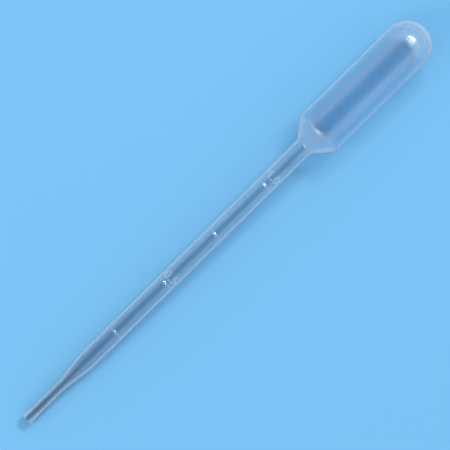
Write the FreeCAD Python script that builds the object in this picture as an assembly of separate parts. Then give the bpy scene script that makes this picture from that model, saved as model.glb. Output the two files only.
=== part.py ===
"""A one-piece dropper pipette, blow-moulded in low-density polyethylene.

It is a single hollow wall: a drawn tip, a short taper, a long graduated stem, a conical
shoulder and a squeeze bulb with a round crown. The graduations stand proud of the stem, and
so do the numerals above every second one.

The pipette is first built about its own axis: stations run along +X from the mouth of the tip,
and the graduated side faces +Z. It is then laid down as it comes to rest on a bench, on its
tip end and on the shoulder of its bulb, with the tip towards -X and the graduations facing up.
The origin is on the bench, below the middle of the pipette's bounding box.

Sizes are in millimetres and volumes in cubic millimetres, unless a name says otherwise.
"""

import FreeCAD
import Part

import math
import os

from FreeCAD import Vector

# Drawn tip
tip_length = 13.2
tip_outer_radius = 1.5
tip_bore_radius = 0.95
mouth_outer_radius = 1.65  # the cut end spreads a little
mouth_flare_length = 3.6

# Taper between the tip and the stem
taper_length = 9.4
taper_wall = 0.62

# Graduated stem
stem_length = 82.0
stem_outer_radius = 2.7
stem_wall = 0.64

# Conical shoulder and squeeze bulb
shoulder_length = 5.1
shoulder_wall = 0.5
bulb_straight_length = 33.5
bulb_outer_radius = 6.8
bulb_wall = 0.4
crown_wall = 1.0  # at the pole, where the wall is stretched least

# Rounds along the outline
flare_round = 20.0
taper_round = 15.0
neck_round = 0.6
shoulder_round = 0.5

# Graduations, each where the liquid drawn up to it has that volume
marked_volumes_ml = (0.25, 0.5, 0.75, 1.0)
mark_width = 0.8
mark_relief = 0.16
mark_span_degrees = 62.0

# Numerals above some of the graduations: the text, and its gap from the mark to its foot
numerals = {0.5: ("0.5", 1.2), 1.0: ("1.0", 2.1)}
digit_height = 2.05
digit_width = 0.85
digit_gap = 0.75  # on each side of the decimal point
stroke_width = 0.3
point_radius = 0.24
numeral_relief = 0.18

# The revolved faces close on this line, counted from the graduated side and clear of its scale
seam_degrees = 124.0

# Worked out from the sizes above
cubic_mm_per_ml = 1000.0
stem_bore_radius = stem_outer_radius - stem_wall
bulb_bore_radius = bulb_outer_radius - bulb_wall
taper_start = tip_length
taper_end = taper_start + taper_length
neck = taper_end + stem_length
shoulder = neck + shoulder_length
crown_centre = shoulder + bulb_straight_length
overall_length = crown_centre + bulb_outer_radius
hollow_crown_centre = overall_length - crown_wall - bulb_bore_radius
pipette_axis = Vector(1, 0, 0)


def at(station, radius):
    """A point of the outline, on the graduated side of the pipette."""
    return Vector(station, 0, radius)


def bore_station(start, start_radius, end, end_radius, wall, bore_radius):
    """Where the bore behind a conical wall reaches bore_radius.

    The outside of the cone runs from start to end, and the bore is parallel to it, one wall in.
    """
    slope = math.atan2(end_radius - start_radius, end - start)
    return start + (bore_radius - start_radius) / math.tan(slope) + wall / math.sin(slope)


def taper_bore_station(bore_radius):
    return bore_station(
        taper_start, tip_outer_radius, taper_end, stem_outer_radius, taper_wall, bore_radius
    )


def shoulder_bore_station(bore_radius):
    return bore_station(
        neck, stem_outer_radius, shoulder, bulb_outer_radius, shoulder_wall, bore_radius
    )


def rounded_path(corners):
    """Edges along (point, round) corners, with each inner corner rounded by a tangent arc."""
    longest_share = 0.45  # of a straight run that one round may use up
    edges = []
    here = corners[0][0]
    for (before, _), (corner, round_radius), (after, _) in zip(corners, corners[1:], corners[2:]):
        arriving = (corner - before).normalize()
        leaving = (after - corner).normalize()
        if arriving.isEqual(leaving, 1e-9):
            continue  # the outline runs straight on
        half_turn = arriving.getAngle(leaving) / 2
        room = longest_share * min((corner - before).Length, (after - corner).Length)
        set_back = min(round_radius * math.tan(half_turn), room)
        used_radius = set_back / math.tan(half_turn)
        towards_centre = (leaving - arriving).normalize()
        centre = corner + towards_centre * (used_radius / math.cos(half_turn))
        arc_start = corner - arriving * set_back
        arc_end = corner + leaving * set_back
        edges.append(Part.LineSegment(here, arc_start).toShape())
        edges.append(Part.Arc(arc_start, centre - towards_centre * used_radius, arc_end).toShape())
        here = arc_end
    edges.append(Part.LineSegment(here, corners[-1][0]).toShape())
    return edges


def quarter_round(centre_station, radius):
    """A quarter circle from the full radius to the axis, for the crown of the bulb."""
    diagonal = radius * math.sqrt(0.5)
    return Part.Arc(
        at(centre_station, radius),
        at(centre_station + diagonal, diagonal),
        at(centre_station + radius, 0),
    ).toShape()


def hollow_wall():
    """The whole wall, turned about the axis from its outline."""
    outside = [
        (at(0, mouth_outer_radius), 0),
        (at(mouth_flare_length, tip_outer_radius), flare_round),
        (at(taper_start, tip_outer_radius), taper_round),
        (at(taper_end, stem_outer_radius), taper_round),
        (at(neck, stem_outer_radius), neck_round),
        (at(shoulder, bulb_outer_radius), shoulder_round),
        (at(crown_centre, bulb_outer_radius), 0),
    ]
    inside = [
        (at(0, tip_bore_radius), 0),
        (at(taper_bore_station(tip_bore_radius), tip_bore_radius), taper_round),
        (at(taper_bore_station(stem_bore_radius), stem_bore_radius), taper_round),
        (at(shoulder_bore_station(stem_bore_radius), stem_bore_radius), neck_round + shoulder_wall),
        (at(shoulder_bore_station(bulb_bore_radius), bulb_bore_radius), shoulder_round),
        (at(hollow_crown_centre, bulb_bore_radius), 0),
    ]
    crown = [
        quarter_round(crown_centre, bulb_outer_radius),
        Part.LineSegment(at(overall_length, 0), at(overall_length - crown_wall, 0)).toShape(),
        quarter_round(hollow_crown_centre, bulb_bore_radius),
    ]
    mouth = [Part.LineSegment(at(0, tip_bore_radius), at(0, mouth_outer_radius)).toShape()]
    outline = rounded_path(outside) + crown + rounded_path(inside)[::-1] + mouth
    wall = Part.Face(Part.Wire(outline)).revolve(Vector(), pipette_axis, 360)
    wall.rotate(Vector(), pipette_axis, seam_degrees)
    return wall


def filled_station(volume):
    """How far up the stem the liquid stands when the pipette holds this volume."""
    bore_start = taper_bore_station(tip_bore_radius)
    bore_end = taper_bore_station(stem_bore_radius)
    mean_square = (tip_bore_radius**2 + tip_bore_radius * stem_bore_radius + stem_bore_radius**2) / 3
    tip_volume = math.pi * tip_bore_radius**2 * bore_start
    taper_volume = math.pi * mean_square * (bore_end - bore_start)
    return bore_end + (volume - tip_volume - taper_volume) / (math.pi * stem_bore_radius**2)


def graduated_stations():
    """Each marked volume with its station, as far as the stem is long enough to hold it."""
    stations = {}
    for millilitres in marked_volumes_ml:
        station = filled_station(millilitres * cubic_mm_per_ml)
        foot = station - mark_width / 2
        top = station + mark_width / 2
        if millilitres in numerals:
            top = station + numerals[millilitres][1] + digit_height + stroke_width / 2
        if foot > taper_end and top < neck - neck_round:
            stations[millilitres] = station
    return stations


def graduation(station):
    """A raised line across the graduated side, with a low rounded section."""
    root = stem_outer_radius - stem_wall / 2
    foot_start = at(station - mark_width / 2, stem_outer_radius)
    crest = at(station, stem_outer_radius + mark_relief)
    foot_end = at(station + mark_width / 2, stem_outer_radius)
    root_end = at(station + mark_width / 2, root)
    root_start = at(station - mark_width / 2, root)
    section = Part.Wire(
        [
            Part.Arc(foot_start, crest, foot_end).toShape(),
            Part.LineSegment(foot_end, root_end).toShape(),
            Part.LineSegment(root_end, root_start).toShape(),
            Part.LineSegment(root_start, foot_start).toShape(),
        ]
    )
    line = Part.Face(section).revolve(Vector(), pipette_axis, mark_span_degrees)
    line.rotate(Vector(), pipette_axis, -mark_span_degrees / 2)
    return line


def on_stem(across, up):
    """A point of the lettering, which reads across the stem with the bulb up."""
    return Vector(up, -across, 0)


def stroke(runs):
    """The outline of a round-ended stroke along runs of two points each, or three for an arc."""
    edges = []
    for run in runs:
        points = [on_stem(across, up) for across, up in run]
        curve = Part.LineSegment if len(points) == 2 else Part.Arc
        edges.append(curve(*points).toShape())
    return Part.Wire(edges).makeOffset2D(stroke_width / 2, 0, True, False)


def glyph(character):
    """A character's width, and its flat shapes with the lower left corner at the origin."""
    tall = digit_height
    wide = digit_width
    bow = wide / 2
    corner = bow * (1 - math.sqrt(0.5))
    if character == ".":
        return 0, [Part.Face(Part.Wire(Part.makeCircle(point_radius)))]
    if character == "0":
        left = [
            [(bow, tall), (corner, tall - corner), (0, tall - bow)],
            [(0, tall - bow), (0, bow)],
            [(0, bow), (corner, corner), (bow, 0)],
        ]
        right = [[(wide - across, up) for across, up in run] for run in left]
        return wide, [stroke(left), stroke(right)]
    if character == "1":
        top = (0.7 * wide, tall)
        return wide, [stroke([[(0.12 * wide, 0.66 * tall), top], [top, (0.7 * wide, 0)]])]
    if character == "5":
        top_left = (0.12 * wide, tall)
        waist = (0.05 * wide, 0.56 * tall)
        return wide, [
            stroke(
                [
                    [(0.95 * wide, tall), top_left],
                    [top_left, waist],
                    [waist, (wide, 0.3 * tall), (0, 0.07 * tall)],
                ]
            )
        ]
    raise ValueError("no glyph is drawn for " + character)


def raised_text(text, foot):
    """Numerals standing on the stem, cut off level with a skin that follows its round."""
    glyphs = [glyph(character) for character in text]
    across = -(sum(width for width, _ in glyphs) + digit_gap * (len(text) - 1)) / 2
    prisms = []
    for width, faces in glyphs:
        for face in faces:
            face.translate(on_stem(across, foot))
            prisms.append(face.extrude(Vector(0, 0, stem_outer_radius + 2 * numeral_relief)))
        across += width + digit_gap
    skin_start = Vector(foot - stroke_width, 0, 0)
    skin_length = digit_height + 2 * stroke_width
    skin_radii = (stem_outer_radius + numeral_relief, stem_outer_radius - stem_wall / 2)
    outer, core = [
        Part.makeCylinder(radius, skin_length, skin_start, pipette_axis) for radius in skin_radii
    ]
    return prisms[0].fuse(prisms[1:]).common(outer.cut(core))


def contact_round(station, radius, round_radius, slope):
    """The centre of the round between a cone of this slope and the straight run beyond it."""
    return station + round_radius * math.tan(slope / 2), radius - round_radius


def rest_tilt():
    """The axis's rise towards the bulb when the pipette lies on its tip end and its shoulder.

    Either the mouth or the foot of the stem comes down first, whichever needs the smaller tilt.
    """
    taper_slope = math.atan2(stem_outer_radius - tip_outer_radius, taper_length)
    shoulder_slope = math.atan2(bulb_outer_radius - stem_outer_radius, shoulder_length)
    high_station, high_radius = contact_round(
        shoulder, bulb_outer_radius, shoulder_round, shoulder_slope
    )
    lower_contacts = [
        (0, mouth_outer_radius, 0),
        (*contact_round(taper_end, stem_outer_radius, taper_round, taper_slope), taper_round),
    ]
    tilts = []
    for station, radius, round_radius in lower_contacts:
        run = high_station - station
        rise = high_radius - radius
        extra = (shoulder_round - round_radius) / math.hypot(run, rise)
        tilts.append(math.atan2(rise, run) + math.asin(extra))
    return min(tilts)


def lay_down(shape):
    """Tilts the shape to its rest, and puts the origin below the middle of its box."""
    shape.rotate(Vector(), Vector(0, 1, 0), -math.degrees(rest_tilt()))
    box = shape.optimalBoundingBox()
    shape.translate(Vector(-(box.XMin + box.XMax) / 2, 0, -box.ZMin))
    return shape


def pipette():
    raised = []
    for millilitres, station in graduated_stations().items():
        raised.append(graduation(station))
        if millilitres in numerals:
            text, gap = numerals[millilitres]
            raised.append(raised_text(text, station + gap))
    wall = hollow_wall()
    if raised:
        wall = wall.fuse(raised)
    return lay_down(wall)


os.makedirs("parts", exist_ok=True)
pipette().exportStep("parts/pipette.step")
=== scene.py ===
import math

import bpy
import numpy as np
from mathutils import Matrix, Vector


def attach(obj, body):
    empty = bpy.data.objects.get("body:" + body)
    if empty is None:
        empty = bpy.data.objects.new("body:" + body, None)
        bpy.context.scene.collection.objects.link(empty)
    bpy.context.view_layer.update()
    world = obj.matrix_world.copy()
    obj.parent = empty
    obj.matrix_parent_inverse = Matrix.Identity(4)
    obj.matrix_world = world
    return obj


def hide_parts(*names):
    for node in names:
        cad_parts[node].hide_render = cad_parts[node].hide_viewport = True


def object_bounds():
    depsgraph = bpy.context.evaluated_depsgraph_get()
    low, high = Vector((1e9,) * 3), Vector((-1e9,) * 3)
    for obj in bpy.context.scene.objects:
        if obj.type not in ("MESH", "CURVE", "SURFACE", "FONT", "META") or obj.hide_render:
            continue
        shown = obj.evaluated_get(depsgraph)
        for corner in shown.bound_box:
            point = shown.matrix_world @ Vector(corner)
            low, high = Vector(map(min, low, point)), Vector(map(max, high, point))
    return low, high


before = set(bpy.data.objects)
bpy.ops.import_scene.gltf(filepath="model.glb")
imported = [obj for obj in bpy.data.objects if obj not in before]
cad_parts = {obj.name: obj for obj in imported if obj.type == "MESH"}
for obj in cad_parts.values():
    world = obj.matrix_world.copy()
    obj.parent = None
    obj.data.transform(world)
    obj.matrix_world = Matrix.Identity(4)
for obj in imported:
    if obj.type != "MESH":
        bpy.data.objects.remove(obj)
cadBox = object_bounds()
print("frame loaded")

mm = 0.001  # metres in a millimetre
millilitre = 1000.0  # cubic millimetres in one
tiny = 1e-9  # keeps a division clear of zero


def toLinear(hexColour):
    # sRGB to linear, channel by channel: c / 12.92 below 0.04045, else ((c + 0.055) / 1.055) ^ 2.4
    c = np.array([int(hexColour[i:i + 2], 16) for i in (1, 3, 5)]) / 255
    linear = np.where(c <= 0.04045, c / 12.92, ((c + 0.055) / 1.055) ** 2.4)
    return (*linear.tolist(), 1.0)


def node(tree, kind, settings=None, *values, **named):
    # Adds one node. settings are its own, values go to its sockets in order, and named ones to the
    # sockets of that name. A value is a number, a colour, an output, or a node, which stands for its
    # first output.
    made = tree.nodes.new(kind)
    for key, value in (settings or {}).items():
        setattr(made, key, value)
    sockets = [*enumerate(values), *((key.replace("_", " "), value) for key, value in named.items())]
    for place, value in sockets:
        if isinstance(value, bpy.types.Node):
            value = value.outputs[0]
        if isinstance(value, bpy.types.NodeSocket):
            tree.links.new(value, made.inputs[place])
        else:
            made.inputs[place].default_value = value
    return made


def newMaterial(name):
    # a node material with nothing in it yet, and its tree
    material = bpy.data.materials.new(name)
    material.use_nodes = True
    material.node_tree.nodes.clear()
    return material, material.node_tree


# Sizes in millimetres, the same as the moulding's. A station is a distance from the mouth along the
# pipette's own axis.
pipette = {
    "mouthRadius": 1.65, "mouthEdge": 0.07, "flareLength": 3.6, "flareRound": 20.0,
    "tipLength": 13.2, "tipRadius": 1.5, "tipBore": 0.95,
    "taperLength": 9.4, "taperWall": 0.62, "taperRound": 15.0,
    "stemLength": 82.0, "stemRadius": 2.7, "stemWall": 0.64,
    "shoulderLength": 5.1, "shoulderWall": 0.5, "neckRound": 0.6,
    "shoulderRound": 0.5,  # what the moulding rests on
    "creaseRound": 1.6,    # the softer round that the skin shows there
    "bulbLength": 33.5, "bulbRadius": 6.8, "bulbWall": 0.4, "crownWall": 1.0,
    "crownEdge": 0.7,      # the thickness that the crown's milky rim shows
    # the raised scale: the volumes that its marks stand for, in millilitres, and for each numeral the
    # volume of its mark, its text, and the gap from the mark to its foot
    "volumes": [0.25, 0.5, 0.75, 1.0],
    "numerals": [(0.5, "0.5", 1.2), (1.0, "1.0", 2.1)],
    "markWidth": 0.8, "markHeight": 0.16, "markWhite": 0.35, "ridgeRound": 0.08,
    "markSpan": 31.0, "markEnd": 0.1,  # degrees to each side, and the round of its ends
    "digitHeight": 2.05, "digitWidth": 0.85, "digitGap": 0.75, "numeralHeight": 0.18,
    "strokeWidth": 0.3, "strokeSoft": 0.07, "pointRadius": 0.24,
    # the skin is drawn this far inside the moulding's, so that its box never passes the moulding's
    "inset": 0.022,
    # rows of the mesh: fine under the scale, a margin round each mark and numeral, coarse elsewhere
    "finePitch": 0.05, "markPitch": 0.08, "coarsePitch": 1.1,
    "markMargin": 0.6, "numeralMargin": 0.4,
    "arcPoints": 9, "lipRows": 6, "crownRows": 30,
    "bowPoints": 15, "bowlPoints": 17,  # along a nought's bow and the five's bowl
    # columns of the mesh: fine within this angle of the top, in degrees, and coarse round the rest
    "fineAngle": 42.0, "fineColumns": 85, "coarseColumns": 64,
    # the bore's unevenness, left by the draw-down of the parison: its height, where it starts and is
    # whole, and the lengths of its waves, in millimetres to the radian
    "ripple": 0.005, "rippleStart": 2.0, "rippleWhole": 8.0,
    "longWave": 4.7, "wander": 11.0, "winding": 23.0, "shortWave": 1.9,
    # pairs of station and value: how milky the plastic is, beside the middle of the bulb
    "milkiness": [
        (0, 3.6), (11, 3.2), (20, 1.5), (24, 1.3), (103, 1.3), (105.5, 4.4), (109.3, 4.4), (110.2, 0.9),
        (135, 0.9), (142, 2.4), (147, 4.6), (150, 6.0),
    ],
    # and how polished its mould was
    "polish": [
        (0, 0.1), (102.5, 0.1), (104, 1.0), (110.5, 1.0), (112.5, 0.1), (140, 0.1), (144.5, 1.0), (150, 1.0),
    ],
}


def roundedLine(corners, arcPoints):
    # Each inner corner (station, radius, round) becomes a tangent arc: the set-back along both runs is
    # round * tan(turn / 2), and the arc's points swing the first spoke to the last by slerp.
    corners = np.array(corners, float)
    points, rounds = corners[:, :2], corners[1:-1, 2]
    runs = np.diff(points, axis=0)
    lengths = np.linalg.norm(runs, axis=1)
    ways = runs / lengths[:, None]
    arriving, leaving = ways[:-1], ways[1:]
    turn = np.arccos(np.clip((arriving * leaving).sum(1), -1, 1))
    setBack = rounds * np.tan(turn / 2)
    first = points[1:-1] - arriving * setBack[:, None]
    last = points[1:-1] + leaving * setBack[:, None]
    inward = leaving - arriving
    inward /= np.linalg.norm(inward, axis=1)[:, None]
    centre = points[1:-1] + inward * (setBack / np.sin(turn / 2))[:, None]
    share = np.linspace(0, 1, arcPoints)[None, :, None]
    swing = turn[:, None, None]
    arcs = centre[:, None] + (
        np.sin((1 - share) * swing) * (first - centre)[:, None]
        + np.sin(share * swing) * (last - centre)[:, None]
    ) / np.sin(swing)
    return np.concatenate([points[:1], arcs.reshape(-1, 2), points[-1:]])


def boreStation(start, startRadius, end, endRadius, wall, bore):
    # where the bore behind a cone's wall reaches this radius: the cone's own station, moved on by
    # wall / sin(slope)
    slope = math.atan2(endRadius - startRadius, end - start)
    return start + (bore - startRadius) / math.tan(slope) + wall / math.sin(slope)


def stations(p):
    # where the taper, the stem, the shoulder and the bulb's straight part end
    taperEnd = p["tipLength"] + p["taperLength"]
    neck = taperEnd + p["stemLength"]
    shoulder = neck + p["shoulderLength"]
    return taperEnd, neck, shoulder, shoulder + p["bulbLength"]


def taperBore(bore, p):
    # where the bore behind the taper reaches this radius
    return boreStation(p["tipLength"], p["tipRadius"], stations(p)[0], p["stemRadius"], p["taperWall"], bore)


def shoulderBore(bore, p):
    # where the bore behind the shoulder reaches this radius
    _, neck, shoulder, _ = stations(p)
    return boreStation(neck, p["stemRadius"], shoulder, p["bulbRadius"], p["shoulderWall"], bore)


def graduations(p):
    # The marks' stations, and each numeral's text with the station of its foot, to a micron. A mark
    # stands where the bore below it holds its volume: a cylinder in the tip, a cone behind the taper,
    # whose mean square radius is (a^2 + a b + b^2) / 3, and a cylinder in the stem.
    tipBore, stemBore = p["tipBore"], p["stemRadius"] - p["stemWall"]
    start, end = taperBore(tipBore, p), taperBore(stemBore, p)
    meanSquare = (tipBore ** 2 + tipBore * stemBore + stemBore ** 2) / 3
    below = tipBore ** 2 * start + meanSquare * (end - start)
    filled = {v: end + (v * millilitre / math.pi - below) / stemBore ** 2 for v in p["volumes"]}
    marks = [round(at, 3) for at in filled.values()]
    return marks, [(text, round(filled[v] + gap, 3)) for v, text, gap in p["numerals"]]


def outsideLine(p):
    # from the mouth's edge to the foot of the crown
    taperEnd, neck, shoulder, crown = stations(p)
    return roundedLine([
        (p["mouthEdge"], p["mouthRadius"], 0),
        (p["flareLength"], p["tipRadius"], p["flareRound"]),
        (p["tipLength"], p["tipRadius"], p["taperRound"]),
        (taperEnd, p["stemRadius"], p["taperRound"]),
        (neck, p["stemRadius"], p["neckRound"]),
        (shoulder, p["bulbRadius"], p["creaseRound"]),
        (crown, p["bulbRadius"], 0),
    ], p["arcPoints"])


def insideLine(p):
    # from the mouth's edge to the foot of the hollow's own crown, a wall's thickness inside the other
    stemBore, bulbBore = p["stemRadius"] - p["stemWall"], p["bulbRadius"] - p["bulbWall"]
    return roundedLine([
        (p["mouthEdge"], p["tipBore"], 0),
        (taperBore(p["tipBore"], p), p["tipBore"], p["taperRound"]),
        (taperBore(stemBore, p), stemBore, p["taperRound"]),
        (shoulderBore(stemBore, p), stemBore, p["neckRound"] + p["shoulderWall"]),
        (shoulderBore(bulbBore, p), bulbBore, p["creaseRound"]),
        (stations(p)[-1] + p["bulbRadius"] - p["crownWall"] - bulbBore, bulbBore, 0),
    ], p["arcPoints"])


def rowStations(line, *spacings):
    # every point of the line and the stations given for it, rounded so that no row comes twice
    return np.unique(np.round(np.concatenate([line[:, 0], *spacings]), 5))


def profile(p):
    # Stations and radii from the outer pole of the crown, down the outside, round the mouth's edge and
    # up the bore to the inner pole. The second array is true on the outside.
    crown = stations(p)[-1]
    outside, inside = outsideLine(p), insideLine(p)
    innerCrown, bulbBore = inside[-1]
    edge = p["mouthEdge"]

    around, beyond = p["markMargin"], p["numeralMargin"]
    tall = p["digitHeight"]
    marks, numerals = graduations(p)
    underMarks = [np.arange(at - around, at + around, p["markPitch"]) for at in marks]
    underText = [np.arange(foot - beyond, foot + tall + beyond, p["finePitch"]) for _, foot in numerals]
    coarse = np.arange(edge, crown, p["coarsePitch"])
    outer = rowStations(outside, coarse, *underMarks, *underText)
    inner = rowStations(inside, coarse[coarse < innerCrown])
    outerWall = np.stack([outer, np.interp(outer, *outside.T) - p["inset"]], 1)[::-1]
    innerWall = np.stack([inner, np.interp(inner, *inside.T)], 1)

    # the crowns and the mouth's edge are quarter circles
    quarter = np.linspace(0, math.pi / 2, p["crownRows"])
    crownRadius = p["bulbRadius"] - p["inset"]
    outerCrown = np.stack([crown + crownRadius * np.sin(quarter), crownRadius * np.cos(quarter)], 1)[:0:-1]
    innerDome = np.stack([innerCrown + bulbBore * np.sin(quarter), bulbBore * np.cos(quarter)], 1)[1:]
    lip = np.linspace(0, math.pi / 2, p["lipRows"])
    mouth = p["mouthRadius"] - p["inset"]
    outerLip = np.stack([edge - edge * np.sin(lip), mouth - edge + edge * np.cos(lip)], 1)[1:]
    innerLip = np.stack([edge - edge * np.cos(lip), p["tipBore"] + edge - edge * np.sin(lip)], 1)[:-1]
    path = np.concatenate([outerCrown, outerWall, outerLip, innerLip, innerWall, innerDome])
    return path, np.arange(len(path)) < len(outerCrown) + len(outerWall)


def wallLooks(path, isOutside, p):
    # Three looks for each row. The milkiness and the polish come from their tables by linear steps,
    # the polish on the outside only. The rim is, on the outside, the cosine below which a line of sight
    # stays inside the wall and misses the hollow, sqrt(1 - (bore / outer radius)^2), times how nearly
    # the wall runs along the axis. The crown's own bore comes from its wall, which thickens as the
    # square of the way to its pole.
    outer, inner = path[isOutside][::-1], path[~isOutside]
    outerRadius = np.interp(path[:, 0], outer[:, 0], outer[:, 1])
    bore = np.interp(path[:, 0], inner[:, 0], inner[:, 1])
    toPole = np.clip((path[:, 0] - stations(p)[-1]) / p["bulbRadius"], 0, 1)
    onCrown = toPole > 0
    thick = p["bulbWall"] + (p["crownEdge"] - p["bulbWall"]) * toPole ** 2
    below = np.clip(bore / np.maximum(outerRadius, tiny), 0, 1)
    ratio = np.where(onCrown, 1 - thick / p["bulbRadius"], below)
    step = np.gradient(path, axis=0)
    lean = np.where(onCrown, 1, np.abs(step[:, 0]) / np.maximum(np.hypot(*step.T), tiny))
    return {
        "haze": np.interp(path[:, 0], *np.array(p["milkiness"]).T),
        "rim": np.where(isOutside, lean * np.sqrt(1 - ratio ** 2), 0),
        "polish": np.interp(path[:, 0], *np.array(p["polish"]).T) * isOutside,
    }


def segmentDistance(across, up, ends):
    # distance from each point to a straight stroke
    (ax, ay), (bx, by) = ends
    along = ((across - ax) * (bx - ax) + (up - ay) * (by - ay)) / ((bx - ax) ** 2 + (by - ay) ** 2)
    along = np.clip(along, 0, 1)
    return np.hypot(across - ax - along * (bx - ax), up - ay - along * (by - ay))


def arcPolyline(a, b, c, count):
    # The circle through three points, from a to c by way of b, as short runs. Its centre is as far from
    # a as from b and c: 2 (b - a) . centre = b . b - a . a, and the same with c.
    a, b, c = np.array([a, b, c])
    centre = np.linalg.solve(2 * np.array([b - a, c - a]), [b @ b - a @ a, c @ c - a @ a])
    first, passed, last = (math.atan2(y, x) for x, y in (a - centre, b - centre, c - centre))
    turn = (last - first) % math.tau
    if (passed - first) % math.tau > turn:
        turn -= math.tau
    angles = first + turn * np.linspace(0, 1, count)
    return centre + np.hypot(*(a - centre)) * np.stack([np.cos(angles), np.sin(angles)], 1)


def glyph(character, p):
    # A character's width and its stroke as one polyline, from its lower left corner. Corners are shares
    # of its width and height. The point is drawn as a disc and has no stroke.
    wide, tall = p["digitWidth"], p["digitHeight"]
    bow = wide / 2
    if character == ".":
        return 0, None
    if character == "0":
        top = arcPolyline((0, tall - bow), (bow, tall), (wide, tall - bow), p["bowPoints"])
        bottom = arcPolyline((wide, bow), (bow, 0), (0, bow), p["bowPoints"])
        return wide, np.concatenate([top, bottom, top[:1]])
    if character == "1":
        return wide, np.array([(0.12 * wide, 0.66 * tall), (0.7 * wide, tall), (0.7 * wide, 0)])
    bowl = arcPolyline((0.05 * wide, 0.56 * tall), (wide, 0.3 * tall), (0, 0.07 * tall), p["bowlPoints"])
    return wide, np.concatenate([[(0.95 * wide, tall), (0.12 * wide, tall)], bowl])


def markRise(station, across, at, p):
    # A low rib, 1 - d / half width with a rounded top. d is the distance to its midline.
    reach = p["stemRadius"] * math.sin(math.radians(p["markSpan"])) - p["markEnd"]
    d = np.hypot(station - at, np.maximum(np.abs(across) - reach, 0))
    return np.clip(1 + p["ridgeRound"] - np.hypot(d / (p["markWidth"] / 2), p["ridgeRound"]), 0, 1)


def numeralRise(station, across, text, foot, p):
    # A flat top with soft shoulders, smoothstep over the edge of each stroke and of the point's disc.
    # d is the distance past that edge.
    glyphs = [glyph(character, p) for character in text]
    left = -(sum(width for width, _ in glyphs) + p["digitGap"] * (len(text) - 1)) / 2
    up = station - foot
    highest = np.zeros_like(station)
    for width, line in glyphs:
        x = across - left
        if line is None:
            d = np.hypot(x, up) - p["pointRadius"]
        else:
            strokes = [segmentDistance(x, up, ends) for ends in zip(line[:-1], line[1:])]
            d = np.minimum.reduce(strokes) - p["strokeWidth"] / 2
        rise = np.clip((p["strokeSoft"] - d) / (2 * p["strokeSoft"]), 0, 1)
        highest = np.maximum(highest, rise * rise * (3 - 2 * rise))
        left += width + p["digitGap"]
    return highest


def scaleHeight(station, across, p):
    # The raised scale's height over the stem, and how white it is. Both follow how far each mark and
    # numeral has risen, and a thin mark is less white.
    marks, numerals = graduations(p)
    height, white = np.zeros_like(station), np.zeros_like(station)
    for at in marks:
        rise = markRise(station, across, at, p)
        height = np.maximum(height, p["markHeight"] * rise)
        white = np.maximum(white, p["markWhite"] * rise)
    for text, foot in numerals:
        rise = numeralRise(station, across, text, foot, p)
        height = np.maximum(height, p["numeralHeight"] * rise)
        white = np.maximum(white, rise)
    return height, white


def boreRipple(station, angles, p):
    # The mean of a long wave that winds slowly round the bore, sin(s / long + 2 sin(s / wander)) *
    # cos(angle + s / winding), and a short one twice round it, sin(s / short + 2 angle), which begins
    # gradually behind the mouth. s is the station.
    wandering = station / p["longWave"] + 2 * np.sin(station / p["wander"])
    long = np.sin(wandering) * np.cos(angles + station / p["winding"])
    short = np.sin(station / p["shortWave"] + angles * 2)
    begun = np.clip((station - p["rippleStart"]) / (p["rippleWhole"] - p["rippleStart"]), 0, 1)
    return begun * p["ripple"] * (long + short) / 2


def shellPoints(path, isOutside, p):
    # A shell of revolution about the pipette's own axis: (station, r sin(angle), r cos(angle)), where r
    # is the profile's radius plus the scale's height or the bore's ripple. Columns are closer together
    # on the side that carries the scale. The two poles come last.
    fine = np.linspace(-p["fineAngle"], p["fineAngle"], p["fineColumns"])
    coarse = np.linspace(p["fineAngle"], 360 - p["fineAngle"], p["coarseColumns"] + 2)[1:-1]
    angles = np.radians(np.concatenate([fine, coarse]))
    station = np.broadcast_to(path[1:-1, :1], (len(path) - 2, len(angles)))
    radius = np.broadcast_to(path[1:-1, 1:], station.shape)
    onTop = isOutside[1:-1, None] & (np.cos(angles)[None, :] > 0)
    raised, white = np.array(scaleHeight(station, -radius * np.sin(angles), p)) * onTop
    inBore = ~isOutside[1:-1, None] & (radius > p["tipBore"] / 2)  # and clear of the hollow's pole
    radius = radius + raised + inBore * boreRipple(station, angles, p)
    grid = np.stack([station, radius * np.sin(angles), radius * np.cos(angles)], -1)
    poles = np.array([[path[0, 0], 0, 0], [path[-1, 0], 0, 0]])
    return np.concatenate([grid.reshape(-1, 3), poles]), white


def shellFaces(rows, columns):
    # quads between neighbouring rows, and a fan of triangles round each pole, all facing outwards
    here = np.arange(rows * columns).reshape(rows, columns)
    beside = np.roll(here, -1, axis=1)
    quads = np.stack([beside[:-1], beside[1:], here[1:], here[:-1]], -1).reshape(-1, 4)
    first, last = rows * columns, rows * columns + 1
    firstFan = np.stack([np.full(columns, first), beside[0], here[0]], -1)
    lastFan = np.stack([np.full(columns, last), here[-1], beside[-1]], -1)
    return quads.tolist() + firstFan.tolist() + lastFan.tolist()


def restTilt(p):
    # the axis's rise when the mouth's lower edge and the round of the shoulder touch the bench
    _, _, shoulder, _ = stations(p)
    slope = math.atan2(p["bulbRadius"] - p["stemRadius"], p["shoulderLength"])
    run = shoulder + p["shoulderRound"] * math.tan(slope / 2)
    rise = p["bulbRadius"] - p["shoulderRound"] - p["mouthRadius"]
    return math.atan2(rise, run) + math.asin(p["shoulderRound"] / math.hypot(run, rise))


def layDown(points, tilt, p):
    # turned by the tilt, lifted on to the bench, and its box centred on the origin
    cosT, sinT = math.cos(tilt), math.sin(tilt)
    left = -p["mouthRadius"] * sinT
    right = stations(p)[-1] * cosT + p["bulbRadius"]
    x = points[:, 0] * cosT - points[:, 2] * sinT - (left + right) / 2
    z = points[:, 0] * sinT + points[:, 2] * cosT + p["mouthRadius"] * cosT
    return np.stack([x, points[:, 1], z], 1)


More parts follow.
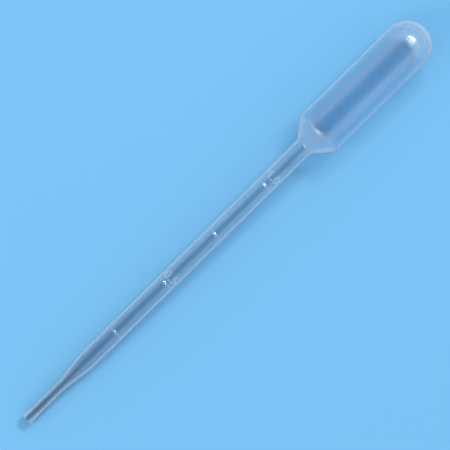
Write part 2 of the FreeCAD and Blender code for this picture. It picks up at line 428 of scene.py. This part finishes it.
def pipetteMesh(tilt, p):
    # the shell as it lies, in metres, with what the plastic reads stored at every vertex
    path, isOutside = profile(p)
    points, white = shellPoints(path, isOutside, p)
    rows, columns = white.shape
    mesh = bpy.data.meshes.new("pipette_body")
    mesh.from_pydata((layDown(points, tilt, p) * mm).tolist(), [], shellFaces(rows, columns))
    mesh.polygons.foreach_set("use_smooth", np.ones(len(mesh.polygons), bool))
    looks = {}
    for name, values in wallLooks(path, isOutside, p).items():
        looks[name] = [np.repeat(values[1:-1], columns), values[[0, -1]]]
    looks["relief"] = [white.ravel(), [0, 0]]
    for name, values in looks.items():
        layer = mesh.attributes.new(name, "FLOAT", "POINT")
        layer.data.foreach_set("value", np.concatenate(values).astype(np.float32))
    mesh.update()
    return mesh


tilt = restTilt(pipette)
bodyMesh = pipetteMesh(tilt, pipette)
body = bpy.data.objects.new("pipette_body", bodyMesh)
bpy.context.scene.collection.objects.link(body)
print("pipette built,", len(bodyMesh.polygons), "faces")

# Low-density polyethylene, blow moulded: thin walls that let the bench show through, a faint bluish
# milkiness that grows where a wall is thick or seen edge on, and a smooth skin, glossiest on the round
# ends and on the raised scale.
plastic = {
    "tint": "#F6F9FC", "haze": "#E6F3FF", "ior": 1.51, "roughness": (0.10, 0.15),
    "coatRoughness": 0.19, "coatIor": 1.65,  # the gloss that a polished mould leaves
    "milky": 0.0125,                    # share of light scattered at one surface of the bulb, square on
    "milkyGrowth": (0.02, -3.0, 13.0),  # it grows as (cosine + first) ^ second, up to the third
    "milkThrough": 0.5,                 # share of the milk's light that goes on through the wall
    "rimMilky": 0.6,                    # share scattered at the rim
    "rimStart": 0.7,                    # where the rim starts, as a share of the slant where it is whole
    "rimLeast": 0.05,                   # below this cosine there is no rim
    "reliefMilky": 0.6, "reliefShine": 3.0,
    "straight": 0.98,                   # share of light that passes one surface unbent, square on
    "straightTint": "#F4F9FF", "slantPower": 5.0,
    "murky": (3.0, 0.88),               # a milkiness, and the share that still passes there
    "rimShade": 0.9,
    "rimShadeSpan": (1.2, 0.8),         # the cosines where that shade starts and is whole, beside the rim's
    "streak": (14.0, 0.7),              # mm along and across: the parison's draw-down lines
    "cloud": 1.6,  # mm; the resin's own clouding is far finer, and is drawn this coarse to show
    "cloudShare": 0.4, "noiseSpan": (0.3, 0.7), "unevenness": (0.6, 1.4),
    "peel": 0.5,   # mm; the blasted mould's grain, about 0.1 mm, is drawn this coarse to show
    "peelHeight": 0.006, "polishedPeel": 0.2,
}

# settings that several nodes share
multiply = {"operation": "MULTIPLY"}
multiplyAdd = {"operation": "MULTIPLY_ADD"}
subtract = {"operation": "SUBTRACT"}
power = {"operation": "POWER"}
clampedMultiply = {"operation": "MULTIPLY", "use_clamp": True}
clampedMultiplyAdd = {"operation": "MULTIPLY_ADD", "use_clamp": True}
smooth = {"interpolation_type": "SMOOTHSTEP"}


def wallLookNodes(tree, s):
    # what the mesh stores at every vertex, how far the wall faces away, 1 - cosine, and whether it is
    # the outside, which alone has a rim
    looks = {}
    for name in ("haze", "rim", "polish", "relief"):
        looks[name] = node(tree, "ShaderNodeAttribute", {"attribute_name": name}).outputs["Fac"]
    looks["facing"] = node(tree, "ShaderNodeLayerWeight", Blend=0.5).outputs["Facing"]
    looks["outer"] = node(tree, "ShaderNodeMath", {"operation": "GREATER_THAN"}, looks["rim"], s["rimLeast"])
    return looks


def wallPatterns(tree, looks, s):
    # Long streaks and clouds mixed into an unevenness of the milk, a roughness that follows the clouds,
    # and the skin's fine grain as a bump, fainter where the mould was polished.
    place = node(tree, "ShaderNodeTexCoord").outputs["Object"]
    along, across = s["streak"]
    perMetre = (1 / (along * mm), 1 / (across * mm), 1 / (across * mm))
    drawn = node(tree, "ShaderNodeVectorMath", multiply, place, perMetre)
    streaks = node(tree, "ShaderNodeTexNoise", {}, Vector=drawn, Scale=1.0, Detail=3.0)
    clouds = node(tree, "ShaderNodeTexNoise", {}, Vector=place, Scale=1 / (s["cloud"] * mm), Detail=4.0)
    grain = node(tree, "ShaderNodeTexNoise", {}, Vector=place, Scale=1 / (s["peel"] * mm), Detail=2.0)
    uneven = node(tree, "ShaderNodeMath", multiply, streaks, 1 - s["cloudShare"])
    uneven = node(tree, "ShaderNodeMath", multiplyAdd, clouds, s["cloudShare"], uneven)
    uneven = node(tree, "ShaderNodeMapRange", {}, uneven, *s["noiseSpan"], *s["unevenness"])
    rough = node(tree, "ShaderNodeMapRange", {}, clouds, *s["noiseSpan"], *s["roughness"])
    blasted = node(tree, "ShaderNodeMapRange", {}, looks["polish"], 0.0, 1.0, 1.0, s["polishedPeel"])
    skin = node(tree, "ShaderNodeBump", {}, Strength=blasted, Distance=s["peelHeight"] * mm, Height=grain)
    return uneven, rough, skin


def milkShare(tree, looks, uneven, s):
    # How much of a surface is milk: base * (cosine + first) ^ second, plus the rim, where a line of
    # sight stays inside the wall, plus the raised scale.
    facing, rim = looks["facing"], looks["rim"]
    offset, growthPower, most = s["milkyGrowth"]
    cosine = node(tree, "ShaderNodeMath", subtract, 1 + offset, facing)
    growth = node(tree, "ShaderNodeMath", power, cosine, growthPower)
    growth = node(tree, "ShaderNodeMath", {"operation": "MINIMUM"}, growth, most)
    base = node(tree, "ShaderNodeMath", multiply, looks["haze"], s["milky"])
    base = node(tree, "ShaderNodeMath", multiply, base, uneven)
    base = node(tree, "ShaderNodeMath", multiply, base, growth)
    rimEnd = node(tree, "ShaderNodeMath", subtract, 1.0, rim)
    rimStart = node(tree, "ShaderNodeMath", multiply, rimEnd, s["rimStart"])
    edge = node(tree, "ShaderNodeMapRange", smooth, facing, rimStart, rimEnd, 0.0, s["rimMilky"])
    edge = node(tree, "ShaderNodeMath", multiplyAdd, edge, looks["outer"], base)
    return node(tree, "ShaderNodeMath", clampedMultiplyAdd, looks["relief"], s["reliefMilky"], edge)


def lightStraightThrough(tree, looks, s):
    # Light on its way to the bench passes mostly straight through, less so at a slant,
    # 1 - (1 - cosine) ^ slantPower, less so through the milky parts, and hardly at all along the
    # inside of the wall.
    facing, rim = looks["facing"], looks["rim"]
    slant = node(tree, "ShaderNodeMath", power, facing, s["slantPower"])
    passing = node(tree, "ShaderNodeMath", multiplyAdd, slant, -s["straight"], s["straight"])
    milkiest, leastPassing = s["murky"]
    murk = node(tree, "ShaderNodeMapRange", {}, looks["haze"], 0.0, milkiest, 1.0, leastPassing)
    passing = node(tree, "ShaderNodeMath", multiply, passing, murk)
    starts, whole = s["rimShadeSpan"]
    shadeStart = node(tree, "ShaderNodeMath", multiplyAdd, rim, -starts, 1.0)
    shadeEnd = node(tree, "ShaderNodeMath", multiplyAdd, rim, -whole, 1.0)
    shade = node(tree, "ShaderNodeMapRange", smooth, facing, shadeStart, shadeEnd, 0.0, s["rimShade"])
    shade = node(tree, "ShaderNodeMath", multiply, shade, looks["outer"])
    unshaded = node(tree, "ShaderNodeMath", subtract, 1.0, shade)
    passing = node(tree, "ShaderNodeMath", multiply, passing, unshaded)
    straightTint = toLinear(s["straightTint"])[:3]
    tint = node(tree, "ShaderNodeVectorMath", {"operation": "SCALE"}, straightTint, Scale=passing)
    return node(tree, "ShaderNodeBsdfTransparent", {}, tint)


def blowMouldedPolyethylene(s):
    # clear plastic with a share of milk, shinier on the scale and wherever the mould was polished, and
    # in its place, for light on its way to the bench, a surface that passes it straight through
    material, tree = newMaterial("blow_moulded_ldpe")
    looks = wallLookNodes(tree, s)
    uneven, rough, skin = wallPatterns(tree, looks, s)
    shine = node(tree, "ShaderNodeMath", clampedMultiply, looks["relief"], s["reliefShine"])
    shine = node(tree, "ShaderNodeMath", {"operation": "MAXIMUM"}, looks["polish"], shine)
    clear = node(
        tree, "ShaderNodeBsdfPrincipled", {},
        Base_Color=toLinear(s["tint"]), Roughness=rough, IOR=s["ior"], Transmission_Weight=1.0,
        Coat_Weight=shine, Coat_Roughness=s["coatRoughness"], Coat_IOR=s["coatIor"], Normal=skin,
    )
    back = node(tree, "ShaderNodeBsdfDiffuse", {}, toLinear(s["haze"]))
    through = node(tree, "ShaderNodeBsdfTranslucent", {}, toLinear(s["haze"]))
    milk = node(tree, "ShaderNodeMixShader", {}, s["milkThrough"], back, through)
    wall = node(tree, "ShaderNodeMixShader", {}, milkShare(tree, looks, uneven, s), clear, milk)
    straight = lightStraightThrough(tree, looks, s)
    rays = node(tree, "ShaderNodeLightPath").outputs
    daylight = node(tree, "ShaderNodeMixShader", {}, rays["Is Diffuse Ray"], wall, straight)
    lamplight = node(tree, "ShaderNodeMixShader", {}, rays["Is Shadow Ray"], daylight, straight)
    node(tree, "ShaderNodeOutputMaterial", {}, lamplight)
    return material


bodyMesh.materials.append(blowMouldedPolyethylene(plastic))
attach(body, "root")
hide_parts("pipette")
print("plastic made")

# Paint rolled on matt: one even colour with no gloss. Sizes are in metres.
bench = {"colour": "#7CC0ED", "half": 6.0, "drop": 0.0002}


def makeBench(s):
    # a flat sheet of four corners
    half = s["half"]
    corners = [(-half, -half, 0), (half, -half, 0), (half, half, 0), (-half, half, 0)]
    mesh = bpy.data.meshes.new("bench")
    mesh.from_pydata(corners, [], [(0, 1, 2, 3)])
    material, tree = newMaterial("matt_painted_bench")
    paint = node(tree, "ShaderNodeBsdfDiffuse", {}, toLinear(s["colour"]))
    node(tree, "ShaderNodeOutputMaterial", {}, paint)
    mesh.materials.append(material)
    sheet = bpy.data.objects.new("bench", mesh)
    sheet.location.z = -s["drop"]
    bpy.context.scene.collection.objects.link(sheet)


makeBench(bench)
print("bench laid")

# A room with bright walls that darken towards the middle of its ceiling, which is what the top of a
# glossy round thing mirrors. Heights are sines: 0 is the horizon and 1 straight up.
room = {
    "ceiling": (0.64, 1.0), "ceilingLevel": 0.03,
    "floorLine": (0.0, 0.35), "floorLineLevel": 1.2,
    "level": 0.80, "sideways": -0.04,  # the walls' brightness, and what it gains towards +Y
    "low": "#B4DEFF", "high": "#FBFCFF", "toneChange": (0.1, 0.6),
}


def makeRoom(s):
    # brightness = ceiling * floor line * (level + sideways * Y), in a tone that goes from low to high
    world = bpy.data.worlds.new("studio")
    bpy.context.scene.world = world
    world.use_nodes = True
    tree = world.node_tree
    tree.nodes.clear()
    place = node(tree, "ShaderNodeTexCoord").outputs["Generated"]
    split = node(tree, "ShaderNodeSeparateXYZ", {}, place).outputs
    ring = node(tree, "ShaderNodeMapRange", smooth, split["Z"], *s["ceiling"], 1.0, s["ceilingLevel"])
    low = node(tree, "ShaderNodeMapRange", smooth, split["Z"], *s["floorLine"], s["floorLineLevel"], 1.0)
    side = node(tree, "ShaderNodeMath", multiplyAdd, split["Y"], s["sideways"], s["level"])
    level = node(tree, "ShaderNodeMath", multiply, ring, low)
    level = node(tree, "ShaderNodeMath", multiply, level, side)
    height = node(tree, "ShaderNodeMapRange", smooth, split["Z"], *s["toneChange"])
    lower = node(tree, "ShaderNodeBackground", {}, toLinear(s["low"]), level)
    upper = node(tree, "ShaderNodeBackground", {}, toLinear(s["high"]), level)
    sky = node(tree, "ShaderNodeMixShader", {}, height, lower, upper)
    node(tree, "ShaderNodeOutputWorld", {}, sky)


makeRoom(room)

# Each lamp leans this many degrees from straight up towards the bulb and towards +Y. Lengths are in
# metres, and the power is in watts.
lamps = {
    "key": {"towardsBulb": 40, "towardsSide": 10, "away": 0.9, "across": 0.46, "along": 0.12, "watts": 3.55},
    "fill": {"towardsBulb": -42, "towardsSide": 9, "away": 0.9, "across": 0.55, "along": 0.1, "watts": 2.6},
}


def addLamp(name, s):
    # a soft rectangular light that faces the pipette's middle
    light = bpy.data.lights.new(name, "AREA")
    light.shape = "RECTANGLE"
    light.size, light.size_y = s["across"], s["along"]
    light.energy = s["watts"]
    lamp = bpy.data.objects.new(name, light)
    towardsBulb, towardsSide = math.radians(s["towardsBulb"]), math.radians(s["towardsSide"])
    way = Vector((math.tan(towardsBulb), math.tan(towardsSide), 1)).normalized()
    turned = way.to_track_quat("Z", "Y").to_matrix().to_4x4()
    lamp.matrix_world = Matrix.Translation(way * s["away"]) @ turned
    lamp.visible_camera = False
    bpy.context.scene.collection.objects.link(lamp)


for name, lamp in lamps.items():
    addLamp(name, lamp)
print("room and lamps lit")

# millimetres and degrees; the clip in metres
view = {
    "distance": 1200.0, "width": 120.9, "roll": 44.51, "sensor": 36.0, "clip": (0.1, 20.0),
    "aimDown": 0.5, "aimSide": 0.27, "aimHeight": 5.2,
}


def makeCamera(s, tilt):
    # Square on to the pipette's own axis. Back is the axis turned a right angle upwards, and the
    # picture's right and up are the axis and the bench's Y turned by the roll, so that the bulb points
    # to the upper right.
    lens = bpy.data.cameras.new("camera")
    lens.sensor_width = s["sensor"]
    lens.lens = s["sensor"] * s["distance"] / s["width"]
    lens.clip_start, lens.clip_end = s["clip"]
    camera = bpy.data.objects.new("camera", lens)
    along = Vector((math.cos(tilt), 0, math.sin(tilt)))
    back = Vector((-math.sin(tilt), 0, math.cos(tilt)))
    side = Vector((0, 1, 0))
    roll = math.radians(s["roll"])
    right = along * math.cos(roll) - side * math.sin(roll)
    up = along * math.sin(roll) + side * math.cos(roll)
    low, high = cadBox
    middle = Vector(((low.x + high.x) / 2, s["aimSide"] * mm, s["aimHeight"] * mm))
    centre = middle - up * s["aimDown"] * mm
    turned = Matrix((right, up, back)).transposed().to_4x4()
    camera.matrix_world = Matrix.Translation(centre + back * s["distance"] * mm) @ turned
    bpy.context.scene.collection.objects.link(camera)
    bpy.context.scene.camera = camera


makeCamera(view, tilt)
bpy.context.scene.view_settings.view_transform = "Standard"
print("camera set")
